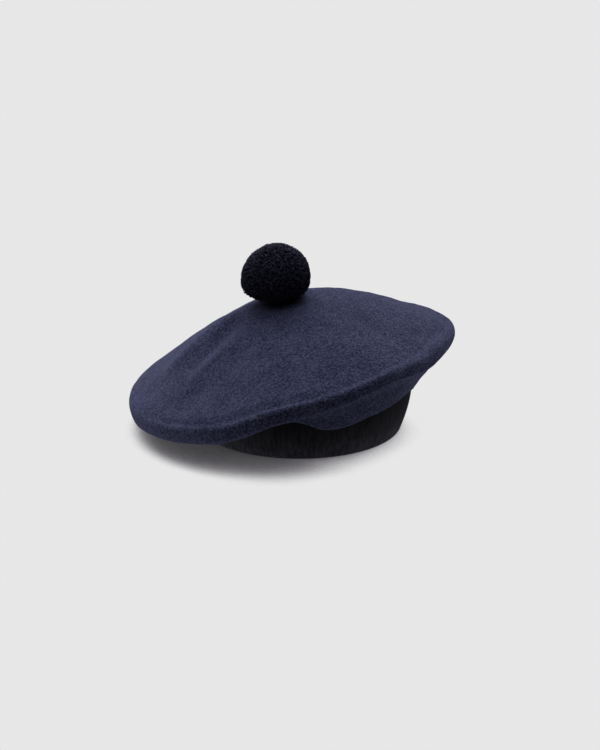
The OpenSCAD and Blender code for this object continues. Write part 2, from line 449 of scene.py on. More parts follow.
def thread_material(name, dark, light):
    """Twisted thread or cord: a soft shine broken by its fibres."""
    material, tree, shader = new_material(name, 0.6, 0.15, (0.8, 0.8, 1.0))
    place = place_node(tree)
    hairs = fibres(tree, place, 0.35)
    matted = noise_node(tree, place, 0.5, detail=3)
    tone = blended(tree, (matted, 0.7), (hairs, 0.3))
    tree.links.new(ramp(tree, tone, [(0.3, dark), (0.75, light)]), shader.inputs["Base Color"])
    bump(tree, shader, tone, 0.12)
    return material


def ribbon_material():
    """Grosgrain ribbon: a low sheen over its crosswise cords."""
    material, tree, shader = new_material("grosgrain", 0.55, 0.1, (0.8, 0.8, 1.0))
    place = place_node(tree)
    threads = noise_node(tree, place, 0.45, detail=3, rough=0.7)
    cloudy = noise_node(tree, place, 20, detail=2)
    tone = blended(tree, (threads, 0.6), (cloudy, 0.4))
    colour = ramp(tree, tone, [(0.3, (0.006, 0.006, 0.009)), (0.7, (0.017, 0.017, 0.025))])
    tree.links.new(colour, shader.inputs["Base Color"])
    bump(tree, shader, threads, 0.1)
    return material


def satin_material():
    """Woven satin label, plain cream, with its floats running across."""
    material, tree, shader = new_material("label_satin", 0.42, 0.1)
    place = place_node(tree)
    floats = noise_node(tree, stretched(tree, place, (0.25, 1.0, 3.0)), 0.5, detail=2)
    colour = ramp(tree, floats, [(0.3, (0.55, 0.53, 0.47)), (0.7, (0.72, 0.70, 0.64))])
    tree.links.new(colour, shader.inputs["Base Color"])
    bump(tree, shader, floats, 0.06)
    return material


def resin_material():
    """Dark polished resin with faint horn-like streaks and fine wear."""
    material, tree, shader = new_material("button_resin", 0.3)
    place = place_node(tree)
    streaks = noise_node(tree, place, 4.0, detail=4, distortion=2.0)
    colour = ramp(tree, streaks, [(0.35, (0.008, 0.007, 0.007)), (0.7, (0.035, 0.028, 0.024))])
    tree.links.new(colour, shader.inputs["Base Color"])
    wear = noise_node(tree, place, 0.6, detail=4)
    tree.links.new(maths(tree, "ADD", maths(tree, "MULTIPLY", wear, 0.25), 0.2), shader.inputs["Roughness"])
    bump(tree, shader, wear, 0.02)
    return material


# ---------------------------------------------------------------- crown

CROWN_COLUMNS = 480
OUTER_STEPS = {"dome": 96, "rim": 20, "underside": 34}
INNER_STEPS = {"dome": 40, "rim": 8, "underside": 14}

# Soft folds of the dome in its own plan, in mm: start, end, height, width. The first four run down
# to the low side, and the others give the back and the right side their own lie.
FOLDS = [
    ((-16, 8), (-100, -16), 5.4, 14),
    ((-30, -18), (-82, -36), -3.3, 12),
    ((-36, -36), (-90, -56), 1.3, 10),
    ((-26, -50), (-80, -80), -2.4, 13),
    ((-20, 30), (-80, 80), -1.4, 14),
    ((14, 40), (40, 108), -1.0, 18),
]
FOLD_WANDER = 3.0

# Places round the crown: direction from +X and spread, in degrees. The front is at FRONT.
FRONT = -90
RIGHT_TIP = (-4, 20)
RIGHT_ROLL = (-32, 21)
RIGHT_FILL = (-16, 28)
RIGHT_LIP = (-44, 18)
LOW_END = (-147, 15)
LOW_BEAD = (-150, 50)
ARCH_DIP_LOW = (-142, 13)
ARCH_DIP_HIGH = (14, 20)
BAND_PULL_RIGHT = (-34, 24)
BAND_PULL_FRONT = (-94, 15)
DROOP_BACK = (105, 30)

# Where a feature of the front begins and is full, and where it ends, in degrees from FRONT.
ARCH_RISE = (-30, -6)
ARCH_FALL = (30, 58)
DROOP_RISE = (-22, 12)
DROOP_FALL = (0, 34)

PLAN_SHIFT = (0.44, -0.83)
ROUNDER_RIGHT = 0.4
TIP_REACH = 2.8
RIM_ARCH = 8.6
ARCH_DIP_LOW_DEPTH = 2.0
ARCH_DIP_HIGH_DEPTH = 1.6
RIM_BEAD = 1.5
RIGHT_ROLL_THICKER = 2.8
RIGHT_ROLL_ROUNDER = 4.5
RIGHT_ROLL_LIFT = 0.75 * RIGHT_ROLL_THICKER
RIGHT_FILL_SHARE = 1.2
LOW_END_THINNER = 1.5
SEAT_SWELL = 3.4
SEAT_R = 16.0
BAND_PULL_RIGHT_RISE = 9.5
BAND_PULL_FRONT_RISE = 7.0
DROOP_DEPTH = 10.5
DROOP_PROUD = 1.5
DROOP_BACK_SHARE = 0.3
LIP_PROUD = 0.8
LIP_ROLL = 1.5
LIP_SHARE = 0.82
TUCK_IN = 0.9
TUCK_DOWN = 1.0


def squared(value):
    """A sine or cosine pushed outwards, so that a round section turns squarer."""
    return np.sign(value) * np.abs(value) ** (2 / RIM_SQUARENESS)


def from_crown(x, y, z):
    """Points in the shared frame from the crown's own frame."""
    return (CROWN_CENTRE + x[..., None] * CROWN_X + y[..., None] * CROWN_Y
            + z[..., None] * CROWN_NORMAL)


def fold_relief(x, y):
    """How far the folds lift the dome at a place of its plan."""
    lift = np.zeros_like(x)
    for start, end, height, width in FOLDS:
        start, end = np.array(start, float), np.array(end, float)
        line = end - start
        length = np.linalg.norm(line)
        share = ((x - start[0]) * line[0] + (y - start[1]) * line[1]) / length ** 2
        gap = ((x - start[0]) * line[1] - (y - start[1]) * line[0]) / length
        gap = gap + FOLD_WANDER * np.sin(share * 4.0 + width)
        along = smoothstep(-0.15, 0.3, share) * (1 - smoothstep(0.75, 1.2, share))
        lift += height * np.exp(-(gap / width) ** 2) * along
    return lift


def dome_height(share, angle, half_h):
    """Height of the dome at a share of its radius; its lie changes a little with the angle."""
    right, back = np.cos(angle), np.sin(angle)
    power = DOME_POWER + DOME_POWER_MORE_RIGHT * right + DOME_POWER_MORE_BACK * back
    wave = DOME_WAVE - DOME_WAVE_LESS_RIGHT * right - DOME_WAVE_LESS_BACK * back
    rise = (1 - wave) * (1 - share ** power) + wave * 0.5 * (1 + np.cos(math.pi * share))
    return half_h + (CROWN_RISE - half_h) * rise


def turn_from(angle, degrees):
    """Signed angle from a direction, in degrees."""
    return (np.degrees(angle) - degrees + 180) % 360 - 180


def swell(angle, place):
    """A smooth bump that is 1 in the middle of one of the places above."""
    direction, spread = place
    return np.exp(-(turn_from(angle, direction) / spread) ** 2)


def front_window(angle, rise, fall):
    """A feature of the front that rises from 0 to 1 over one stretch and falls back over another."""
    turn = turn_from(angle, FRONT)
    return smoothstep(*rise, turn) * (1 - smoothstep(*fall, turn))


def wobble(angle):
    """The rim's slight unevenness."""
    return 0.7 * np.sin(3 * angle + 1.0) + 0.4 * np.sin(7 * angle + 2.0)


def rim_arch(angle):
    """How far the rim rises above its plane: it arches over the front and dips at both ends of the arch."""
    return (RIM_ARCH * front_window(angle, ARCH_RISE, ARCH_FALL)
            - ARCH_DIP_LOW_DEPTH * swell(angle, ARCH_DIP_LOW)
            - ARCH_DIP_HIGH_DEPTH * swell(angle, ARCH_DIP_HIGH))


def rim_lie(angle):
    """The rim round the crown: radius of the dome's edge, half height, rounding and arch."""
    roll = swell(angle, RIGHT_ROLL)
    thin = LOW_END_THINNER * swell(angle, LOW_END)
    off_round = PLAN_SHIFT[0] * np.cos(angle) + PLAN_SHIFT[1] * np.sin(angle) + 0.4 * wobble(angle)
    radius = CROWN_R + off_round + TIP_REACH * swell(angle, RIGHT_TIP)
    half_h = RIM_HALF_H - RIM_THICKER_LEFT * np.cos(angle) + RIGHT_ROLL_THICKER * roll - thin
    rounding = RIM_ROUND + ROUNDER_RIGHT * np.cos(angle) + RIGHT_ROLL_ROUNDER * roll
    arch = rim_arch(angle) + RIGHT_ROLL_LIFT * roll + thin
    return radius - rounding, half_h, rounding, arch


def band_top(angle):
    """Height of the headband's upper edge, which the crown pulls up at the front and its right."""
    return (BAND_H + BAND_PULL_RIGHT_RISE * swell(angle, BAND_PULL_RIGHT)
            + BAND_PULL_FRONT_RISE * swell(angle, BAND_PULL_FRONT))


def droop(angle):
    """How far the slack felt hangs down over the headband, as a share of its depth."""
    return front_window(angle, DROOP_RISE, DROOP_FALL) + DROOP_BACK_SHARE * swell(angle, DROOP_BACK)


def wall_ring(radius, angle, z):
    """A ring about the headband's leaning axis, at a height that may vary."""
    lean = BAND_LEAN * smoothstep(0, BAND_H, z)
    heights = np.broadcast_to(z, angle.shape)
    return np.stack([radius * np.cos(angle) + lean, radius * np.sin(angle), heights], 1)


def dome_rings(angle, inset, steps):
    """The dome, from the tie's hole to the rim."""
    edge, half_h, _, arch = rim_lie(angle)
    bead = RIM_BEAD * (0.2 + 0.8 * swell(angle, LOW_BEAD))
    hole = TIE_HOLE_R / CROWN_R
    rings = []
    for i in range(steps + 1):
        share = hole + (1 - hole) * i / steps
        x, y = edge * share * np.cos(angle), edge * share * np.sin(angle)
        fade = 1 - smoothstep(0.88, 1.0, share)
        z = dome_height(share, angle, half_h) - inset + fold_relief(x, y) * fade
        z = z + SEAT_SWELL * np.exp(-(np.hypot(x, y) / SEAT_R) ** 2) + wobble(angle) * fade * share
        z = z + arch * smoothstep(0.35, 1.0, share) + bead * np.exp(-((share - 0.955) / 0.035) ** 2)
        rings.append(from_crown(x, y, z))
    return rings


def rim_rings(angle, inset, steps):
    """The rim, from the dome's edge round to the underside."""
    edge, half_h, rounding, arch = rim_lie(angle)
    rings = []
    for i in range(1, steps + 1):
        t = math.pi / 2 - math.pi * i / steps
        reach = edge + (rounding - inset) * squared(math.cos(t))
        z = (half_h - inset) * squared(math.sin(t)) + arch
        rings.append(from_crown(reach * np.cos(angle), reach * np.sin(angle), z))
    return rings


def underside_rings(angle, inset, steps, rim_base):
    """The underside, from the rim to the lip over the headband, and tucked in behind the band's edge."""
    slack = droop(angle)
    crease_z = band_top(angle) - DROOP_DEPTH * slack + inset * 0.5
    lip = wall_ring(BAND_R + LIP_PROUD + DROOP_PROUD * slack - inset * 0.9, angle, crease_z)
    tuck = wall_ring(BAND_R - TUCK_IN - inset * 0.3, angle, band_top(angle) - TUCK_DOWN + inset * 0.5)
    hollow = UNDERSIDE_HOLLOW * (1 - RIGHT_FILL_SHARE * swell(angle, RIGHT_FILL))
    bend = rim_base + (lip - rim_base) * (0.5 + 0.2 * slack)[:, None] + CROWN_NORMAL * (2 * hollow)[:, None]
    lip_roll = (LIP_ROLL * (1 + swell(angle, RIGHT_LIP)))[:, None]
    outward = np.stack([np.cos(angle), np.sin(angle), np.zeros_like(angle)], 1)
    rings = []
    for i in range(1, steps + 1):
        t = i / steps
        if t <= LIP_SHARE:
            u = t / LIP_SHARE
            ring = rim_base * (1 - u) ** 2 + bend * 2 * u * (1 - u) + lip * u ** 2
            ring = ring + outward * lip_roll * smoothstep(0.7, 1.0, u)
        else:
            u = (t - LIP_SHARE) / (1 - LIP_SHARE)
            ring = lip * (1 - u) + tuck * u
            ring = ring + outward * lip_roll * math.cos(u * math.pi / 2)
            ring[:, 2] -= lip_roll[:, 0] * math.sin(u * math.pi)
        rings.append(ring)
    return rings


def crown_skin(inset, steps):
    """Rings of one skin of the crown, over the dome and rim and under to the headband, and how far
    each ring follows the crown and not the headband."""
    angle = np.arange(CROWN_COLUMNS) * TAU / CROWN_COLUMNS
    rings = dome_rings(angle, inset, steps["dome"]) + rim_rings(angle, inset, steps["rim"])
    follow = [1.0] * len(rings)
    rings += underside_rings(angle, inset, steps["underside"], rings[-1])
    under = steps["underside"]
    follow += [1 - smoothstep(0.0, LIP_SHARE, i / under) for i in range(1, under + 1)]
    return np.array(rings), np.array(follow)


def build_crown(material):
    """The felt crown: one closed shell that curves under to where it joins the headband."""
    outer, outer_follow = crown_skin(0.0, OUTER_STEPS)
    inner, inner_follow = crown_skin(FELT_T, INNER_STEPS)
    points = np.concatenate([outer, inner[::-1]])
    felt = points.reshape(-1, 3)
    felt[:, 2] += 0.35 * soft_noise(felt, 26, seed=11) + 0.10 * soft_noise(felt, 7, seed=12)
    crown = make_mesh("felt_crown", felt, grid_faces(len(points), CROWN_COLUMNS, wrap_rows=True))
    crown.data.materials.append(material)
    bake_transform(crown)
    # The low side of the rim lies below the crease, so the share comes from the ring, not from a line.
    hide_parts("crown")


# ---------------------------------------------------------------- headband and sweatband

RIB_PITCH = 1.25
RIB_DEPTH = 0.16
HEM_ROUND = 1.4
BAND_WAVE = 0.35
CORD_COUNT = 440
CORD_DEPTH = 0.11
COLUMNS_PER_RIB = 4


def band_radius(z):
    """Outside radius of the headband at height z."""
    return BAND_R - 0.2 - HEM_DRAW * (1 - z / BAND_H) ** 2


def hem_arc(middle_r, middle_z, degrees, ribbed):
    """A rounded corner of the band's profile, as (radius, height, rib share) points."""
    return [(middle_r + HEM_ROUND * math.cos(a), middle_z + HEM_ROUND * math.sin(a), ribbed)
            for a in np.radians(degrees)]


def band_profile():
    """The band's section: outer wall, rounded upper edge, inner wall and rounded hem."""
    heights = np.linspace(HEM_ROUND, BAND_H - HEM_ROUND, 14)
    low, top = heights[0], heights[-1]
    inside = FELT_T - HEM_ROUND
    profile = [(band_radius(z), z, 1.0) for z in heights]
    profile += hem_arc(band_radius(top) - HEM_ROUND, top, (30, 60, 90), 0.5)
    profile += hem_arc(band_radius(top) - inside, top, (90, 120, 150), 0.5)
    profile += [(band_radius(z) - FELT_T, z, 0.6) for z in heights[::-2]]
    profile += hem_arc(band_radius(low) - inside, low, (210, 240, 270), 0.5)
    profile += hem_arc(band_radius(low) - HEM_ROUND, low, (270, 300, 330), 0.6)
    return profile


def build_headband(material):
    """The ribbed band, which follows the crown's pull at its upper edge."""
    ribs = int(TAU * BAND_R / RIB_PITCH)
    columns = ribs * COLUMNS_PER_RIB
    angle = np.arange(columns) * TAU / columns
    rib = RIB_DEPTH * (np.cos(angle * ribs) - 1) / 2
    lift = band_top(angle) - BAND_H
    rings = []
    for radius, z, ribbed in band_profile():
        wave = BAND_WAVE * np.sin(5 * angle + 0.6) * smoothstep(2, 20, z)
        ring = wall_ring(radius + rib * ribbed + wave, angle, z)
        ring[:, 2] += lift * smoothstep(0.3 * BAND_H, BAND_H, z)
        rings.append(ring)
    faces = grid_faces(len(rings), columns, wrap_rows=True)
    dress("ribbed_headband", "headband", "headband", [(np.concatenate(rings), faces)], material)


def build_sweatband(material):
    """The grosgrain ribbon: fine upright cords and rolled edges."""
    low, high = box_mm("sweatband")
    outer_r = high[1]
    columns = CORD_COUNT * COLUMNS_PER_RIB
    angle = np.arange(columns) * TAU / columns
    cord = CORD_DEPTH * np.cos(angle * CORD_COUNT)
    top, bottom = high[2], low[2] + 0.05
    profile = [(outer_r - 0.15, z, 0.5) for z in np.linspace(low[2] + 0.4, top - 0.4, 6)]
    profile += [(outer_r - 0.3, top, 0.3), (RIBBON_R + 0.3, top, 0.3)]
    profile += [(RIBBON_R + 0.12, z, 1.0) for z in np.linspace(top - 0.4, low[2] + 0.4, 14)]
    profile += [(RIBBON_R + 0.3, bottom, 0.3), (outer_r - 0.3, bottom, 0.3)]
    rings = []
    for radius, z, corded in profile:
        reach = radius - cord * corded
        rings.append(np.stack([reach * np.cos(angle), reach * np.sin(angle), np.full(columns, z)], 1))
    faces = grid_faces(len(rings), columns, wrap_rows=True)
    dress("grosgrain_sweatband", "sweatband", "headband",
          [(np.concatenate(rings), faces)], material)


# ---------------------------------------------------------------- stitches

THREAD_R = 0.34
STITCH_DEPTH = 0.5
STITCH_PROUD = 0.25
ROW_STITCHES = 84
SEAM_STITCHES = 96
JOIN_STITCHES = 8
LABEL_STITCHES = 6
ROW_Z = 2.5
ROW_STITCH = 3.6
ZIGZAG_SLOPE = 30
SEAM_BELOW_EDGE = 2.2
SEAM_STITCH = 3.8
SEAM_SLOPE = -35
LADDER_STITCH = 5.2
LADDER_SLOPE = 12
TACK_BELOW_EDGE = 0.7


def wall_point(radius, angle, z):
    """A point on an upright wall round the Z axis."""
    return np.array([radius * math.cos(angle), radius * math.sin(angle), z])


def wall_stitch(radius, angle, z, slope, length):
    """A two-ply stitch on an inner wall, turned by slope degrees from the level: it rises from the
    cloth, crosses it and dives back in."""
    out = -np.array([math.cos(angle), math.sin(angle), 0.0])
    level = np.array([-math.sin(angle), math.cos(angle), 0.0])
    along = level * math.cos(math.radians(slope)) + np.array([0, 0, math.sin(math.radians(slope))])
    path = []
    for t in np.linspace(-1, 1, 9):
        height = STITCH_PROUD * (1 - abs(t) ** 3) - STITCH_DEPTH * abs(t) ** 3
        path.append(wall_point(radius, angle, z) + along * (t * length / 2) + out * height)
    return twisted(path, THREAD_R, 2, 1.5, sides=5)


def build_stitches(name, node, parts, material):
    """Dresses one node of stitches, which all ride on the headband."""
    dress(name, node, "headband", parts, material)


def join_heights(node, inset):
    """Numbers and heights of the stitches of an upright join, from its CAD node."""
    low, high = box_mm(node)
    return enumerate(np.linspace(low[2] + inset, high[2] - inset, JOIN_STITCHES))


def sew(material):
    """All rows of stitches, each where its CAD node is."""
    ribbon_r = RIBBON_R + 0.15
    at_back = math.pi / 2

    row = [wall_stitch(ribbon_r, TAU * (i + 0.5) / ROW_STITCHES, ROW_Z, 0, ROW_STITCH)
           for i in range(ROW_STITCHES)]
    build_stitches("sweatband_row", "sweatband_stitches", row, material)

    zigzag = [wall_stitch(ribbon_r, at_back, z, ZIGZAG_SLOPE if i % 2 else -ZIGZAG_SLOPE, ROW_STITCH)
              for i, z in join_heights("sweatband_join_stitches", 1.0)]
    build_stitches("sweatband_zigzag", "sweatband_join_stitches", zigzag, material)

    seam = []
    seam_z = BAND_H - SEAM_BELOW_EDGE
    for i in range(SEAM_STITCHES):
        angle = TAU * i / SEAM_STITCHES
        radius = band_radius(seam_z) - FELT_T + BAND_LEAN * math.cos(angle)
        seam.append(wall_stitch(radius, angle, seam_z, SEAM_SLOPE, SEAM_STITCH))
    build_stitches("band_seam_row", "band_seam_stitches", seam, material)

    ladder = []
    for i, z in join_heights("headband_join_stitches", 0.6):
        slope = LADDER_SLOPE if i % 2 else -LADDER_SLOPE
        ladder.append(wall_stitch(band_radius(z) - FELT_T, at_back, z, slope, LADDER_STITCH))
    build_stitches("headband_ladder", "headband_join_stitches", ladder, material)

    half = math.asin(box_mm("care_label_stitches")[1][0] / RIBBON_R)
    tack = []
    for i in range(LABEL_STITCHES):
        angle = at_back + half * (2 * (i + 0.5) / LABEL_STITCHES - 1)
        tack.append(wall_stitch(ribbon_r, angle, RIBBON_H - TACK_BELOW_EDGE, 0, ROW_STITCH))
    build_stitches("care_label_row", "care_label_stitches", tack, material)


# ---------------------------------------------------------------- label

LABEL_COLUMNS = 40
LABEL_ROWS = 34
LABEL_HALF_T = 0.22
LABEL_HEM_T = 0.10
LABEL_CURL = 1.1


def build_label(material):
    """The blank label: a thin satin flap with a folded root, turned edges and a slight curl."""
    width = LABEL_HIGH[0] - LABEL_LOW[0]
    height = LABEL_HIGH[2] - LABEL_LOW[2]
    columns, rows = LABEL_COLUMNS, LABEL_ROWS
    front, back = [], []
    for j in range(rows + 1):
        v = j / rows
        for i in range(columns + 1):
            u = i / columns * 2 - 1
            edge = smoothstep(0.90, 0.97, abs(u)) + smoothstep(0.93, 0.98, v)
            thick = LABEL_HALF_T + LABEL_HEM_T * min(edge, 1.0)
            curl = -LABEL_CURL * v ** 2 + 0.25 * math.sin(u * 2.6 + 0.4) * v
            x = u * width / 2
            y = LABEL_FOLD[1] + curl
            z = LABEL_LOW[2] + 0.1 + v * (height - 0.2)
            front.append((x, y - thick, z))
            back.append((x, y + thick, z))
    points = np.array(front + back)
    stride = columns + 1
    shift = len(front)
    faces = []
    for j in range(rows):
        for i in range(columns):
            a = j * stride + i
            faces.append((a, a + 1, a + 1 + stride, a + stride))
            faces.append((a + shift, a + stride + shift, a + 1 + stride + shift, a + 1 + shift))
    rim = ([(i, i + 1) for i in range(columns)]
           + [(j * stride + columns, (j + 1) * stride + columns) for j in range(rows)]
           + [(rows * stride + i + 1, rows * stride + i) for i in range(columns)]
           + [((j + 1) * stride, j * stride) for j in range(rows)])
    faces += [(b, a, a + shift, b + shift) for a, b in rim]
    dress("blank_label", "care_label", "label", [(points, faces)], material)


# ---------------------------------------------------------------- tie

CORD_R = 0.665
CORD_END_R = 0.63
CORD_PLIES = 3
CORD_SPACING = 1.5
BUTTON_TO_KNOT = 1.9
KNOT_SIZE = 0.8625
SHANK_TURNS = 11
SHANK_R = 2.05
SHANK_THREAD_R = 0.27


def at_top(x, y, z):
    """A point near the crown's top, in the crown's own directions."""
    return CROWN_TOP + CROWN_X * x + CROWN_Y * y + CROWN_NORMAL * z


def top_height(point):
    """Height of a point above the crown's top, along the crown's normal."""
    return float((np.asarray(point) - CROWN_TOP) @ CROWN_NORMAL)


def tie_tails(foot):
    """The two cords from the button up to the top of the felt."""
    tails = []
    for side in (-1, 1):
        path = [at_top(side * CORD_SPACING, 0, z) for z in np.linspace(foot, 0.0, 14)]
        tails.append(twisted(path, CORD_R, CORD_PLIES, 2.0))
    return tails


def tie_knot(foot):
    """An overhand knot under the button, where both cords run in and their ends run out."""
    knot_z = foot - BUTTON_TO_KNOT
    loop = []
    for t in np.arange(90) * TAU / 90:
        x = KNOT_SIZE * (math.sin(t) + 1.3 * math.sin(2 * t))
        y = KNOT_SIZE * (math.cos(t) - 1.3 * math.cos(2 * t))
        loop.append(at_top(x, y, knot_z - 0.75 * math.sin(3 * t)))
    parts = [twisted(loop, CORD_R, CORD_PLIES, 14, closed=True)]
    for side in (-1, 1):
        bend = [at_top(side * CORD_SPACING * (1 - 0.2 * t), side * 0.8 * t, foot - 0.1 - 1.7 * t)
                for t in np.linspace(0, 1, 8)]
        parts.append(twisted(bend, CORD_R, CORD_PLIES, 1.0))
        end = [at_top(side * (1.2 + 2.6 * t), side * (0.8 + 0.9 * t ** 2), knot_z - 1.5 * t - 1.2 * t ** 2)
               for t in np.linspace(0, 1, 10)]
        parts.append(twisted(end, CORD_END_R, CORD_PLIES, 1.5))
    return parts


def wound_thread():
    """The thread wound round the cords between the felt and the pompom, and the cords it covers."""
    coil = []
    for t in np.linspace(0, 1, 330):
        polar = math.pi * (0.16 + 0.68 * t)
        spin = SHANK_TURNS * TAU * t
        reach = SHANK_R * math.sin(polar) + 0.12 * math.sin(3.3 * spin)
        centre = POMPOM_PIVOT + CROWN_NORMAL * (SHANK_R * math.cos(polar))
        coil.append(centre + reach * (CROWN_X * math.cos(spin) + CROWN_Y * math.sin(spin)))
    core = [POMPOM_PIVOT + CROWN_NORMAL * z for z in np.linspace(-2.1, 2.1, 9)]
    core_r = [1.2 + 0.75 * math.sin(math.pi * t) for t in np.linspace(0, 1, 9)]
    return [tube(coil, SHANK_THREAD_R, 6), tube(core, core_r, 12)]


def build_tie(cord, thread, resin):
    """The button, its cords and knot under the felt, and the wound shank above it."""
    dye("backing_button", resin)
    foot = top_height((BUTTON_LOW + BUTTON_HIGH) / 2) - 1.1
    dress("twisted_tails", "tie_tails", "tie", tie_tails(foot), cord)
    dress("tied_knot", "tie_knot", "tie", tie_knot(foot), cord)
    dress("wound_shank", "thread_shank", "shank", wound_thread(), thread)
    dye("tie_binding", cord)


# ---------------------------------------------------------------- pompom

POMPOM_R = 29.1
POMPOM_FOOT = 16.4
FOOT_FLATNESS = 2.7
POMPOM_LEAN = 0.05
CORE_DEPTH = 2.6
YARN_R = 0.76
YARN_LENGTH = 3.6
YARN_ENDS = 5600
POMPOM_SEED = 5


def pompom_centre():
    """The middle of the ball, below the top of its CAD node by the ball's radius."""
    low, high = box_mm("pompom_yarn")
    return np.array([(low[0] + high[0]) / 2, 0.0, high[2] - POMPOM_R])


def ball_radius(direction):
    """Distance from the pompom's middle to its trimmed surface, flatter below."""
    flat = POMPOM_FOOT / POMPOM_R
    down = np.minimum(direction[..., 2], 0)
    level = np.hypot(direction[..., 0], direction[..., 1])
    above = np.sqrt(level ** 2 + direction[..., 2] ** 2)
    below = (level ** FOOT_FLATNESS + (-down / flat) ** FOOT_FLATNESS) ** (1 / FOOT_FLATNESS)
    return POMPOM_R / np.where(down < 0, below, above)


def spiral_directions(count):
    """Evenly spread unit directions."""
    i = np.arange(count) + 0.5
    z = 1 - 2 * i / count
    angle = i * math.pi * (3 - math.sqrt(5))
    level = np.sqrt(1 - z ** 2)
    return np.stack([level * np.cos(angle), level * np.sin(angle), z], 1)


def pompom_core(centre):
    """The lumpy ball of packed yarn under the cut ends."""
    rings, columns = 60, 96
    polar = np.linspace(0.02, math.pi - 0.09, rings)
    spin = np.arange(columns) * TAU / columns
    direction = np.stack([np.sin(polar)[:, None] * np.cos(spin), np.sin(polar)[:, None] * np.sin(spin),
                          np.repeat(np.cos(polar)[:, None], columns, 1)], 2).reshape(-1, 3)
    reach = ball_radius(direction) - CORE_DEPTH + 0.4 * soft_noise(direction * POMPOM_R, 6, seed=21)
    faces = grid_faces(rings, columns)
    faces.append(tuple(range(columns)))
    faces.append(tuple(range(rings * columns - 1, (rings - 1) * columns - 1, -1)))
    return centre + direction * reach[:, None], faces


def yarn_end(centre, way, lump, rng):
    """One cut end of yarn that curls out of the ball and narrows at its tip."""
    out = way + rng.normal(scale=0.05, size=3)
    out /= np.linalg.norm(out)
    side = np.cross(out, rng.normal(size=3))
    side /= np.linalg.norm(side)
    other = np.cross(out, side)
    top = ball_radius(way) + 0.5 * lump + rng.normal(scale=0.13)
    curl = rng.uniform(0.35, 0.85)
    phase = rng.uniform(0, TAU)
    sweep = rng.uniform(1.5, 3.4)
    path = []
    for t in (0.0, 0.35, 0.65, 0.88, 1.0):
        bend = side * math.cos(phase + sweep * t) + other * math.sin(phase + sweep * t)
        path.append(centre + out * (top - YARN_LENGTH * (1 - t)) + bend * curl * t)
    width = YARN_R * rng.uniform(0.82, 1.12)
    return tube(path, [width * 0.9, width, width, width * 0.86, width * 0.45], 5)


def build_pompom(yarn):
    """The trimmed ball: a lumpy core and thousands of cut yarn ends, leaning a little to the right."""
    centre = pompom_centre()
    rng = np.random.default_rng(POMPOM_SEED)
    ways = spiral_directions(YARN_ENDS)
    lumps = soft_noise(ways * POMPOM_R, 13, seed=22)
    parts = [pompom_core(centre)]
    parts += [yarn_end(centre, way, lump, rng) for way, lump in zip(ways, lumps)]
    for points, _ in parts:
        points[:, 0] += POMPOM_LEAN * (points[:, 2] - centre[2])
    dress("yarn_pompom", "pompom_yarn", "pompom", parts, yarn)


# ---------------------------------------------------------------- studio

CAMERA_AZIMUTH = -4.22
CAMERA_ELEVATION = 19.11
CAMERA_DISTANCE = 1600.0
AIM_RIGHT = 0.523
AIM_UP = 39.983
VIEW_WIDTH = 514.58
SENSOR_WIDTH = 36.0
PAPER = 0.80
FLOOR_REACH = 20000
FLOOR_Z = -0.05
SHADOW_REACH = 65.0
SHADOW_LEAN = (0.22, 0.36, 0.91)
SHADOW_STOPS = [(0.10, (0.03, 0.03, 0.033)), (0.31, (0.15, 0.144, 0.156)), (0.46, (0.54, 0.532, 0.55)),
                (0.57, (PAPER, PAPER, PAPER))]
BOUNCE_REACH = 350.0
BOUNCE_STOPS = [(0.62, grey(1.0)), (0.95, grey(0.2))]
BESIDE_REACH = 200.0
BESIDE_LEAST = 0.34
ROOM_STOPS = [(0.0, grey(0.0)), (0.2, grey(0.03)), (0.5, (0.50, 0.50, 0.53)), (0.85, grey(1.0))]
SUN_STRENGTH = 2.0


def build_camera():
    """A long lens, a little above the hat and to its left, that leaves more room above it than below."""
    azimuth, elevation = math.radians(CAMERA_AZIMUTH), math.radians(CAMERA_ELEVATION)
    right = np.array([math.cos(azimuth), math.sin(azimuth), 0.0])
    back = np.array([math.sin(azimuth) * math.cos(elevation), -math.cos(azimuth) * math.cos(elevation),
                     math.sin(elevation)])
    up = np.cross(back, right)
    place = (right * AIM_RIGHT + up * AIM_UP + back * CAMERA_DISTANCE) * MM
    data = bpy.data.cameras.new("camera")
    data.sensor_fit = "HORIZONTAL"
    data.sensor_width = SENSOR_WIDTH
    data.lens = SENSOR_WIDTH * CAMERA_DISTANCE / VIEW_WIDTH
    data.clip_end = 50
    camera = bpy.data.objects.new("camera", data)
    bpy.context.scene.collection.objects.link(camera)
    rows = [[right[i], up[i], back[i], place[i]] for i in range(3)]
    camera.matrix_world = Matrix(rows + [[0, 0, 0, 1]])
    bpy.context.scene.camera = camera


def sun(name, azimuth, elevation, strength, softness):
    """A soft sun that shines from an azimuth (0 is the front, -Y) and an elevation, in degrees."""
    data = bpy.data.lights.new(name, "SUN")
    data.energy = strength
    data.angle = math.radians(softness)
    light = bpy.data.objects.new(name, data)
    bpy.context.scene.collection.objects.link(light)
    light.rotation_euler = (math.radians(90 - elevation), 0, math.radians(azimuth))


def socket_vector(tree, x, y, z):
    """A fixed vector as a socket."""
    node = tree.nodes.new("ShaderNodeCombineXYZ")
    for socket, value in zip(node.inputs, (x, y, z)):
        socket.default_value = value
    return node.outputs[0]


def camera_ray(tree):
    """1 on rays from the camera and 0 on all others."""
    return tree.nodes.new("ShaderNodeLightPath").outputs["Is Camera Ray"]


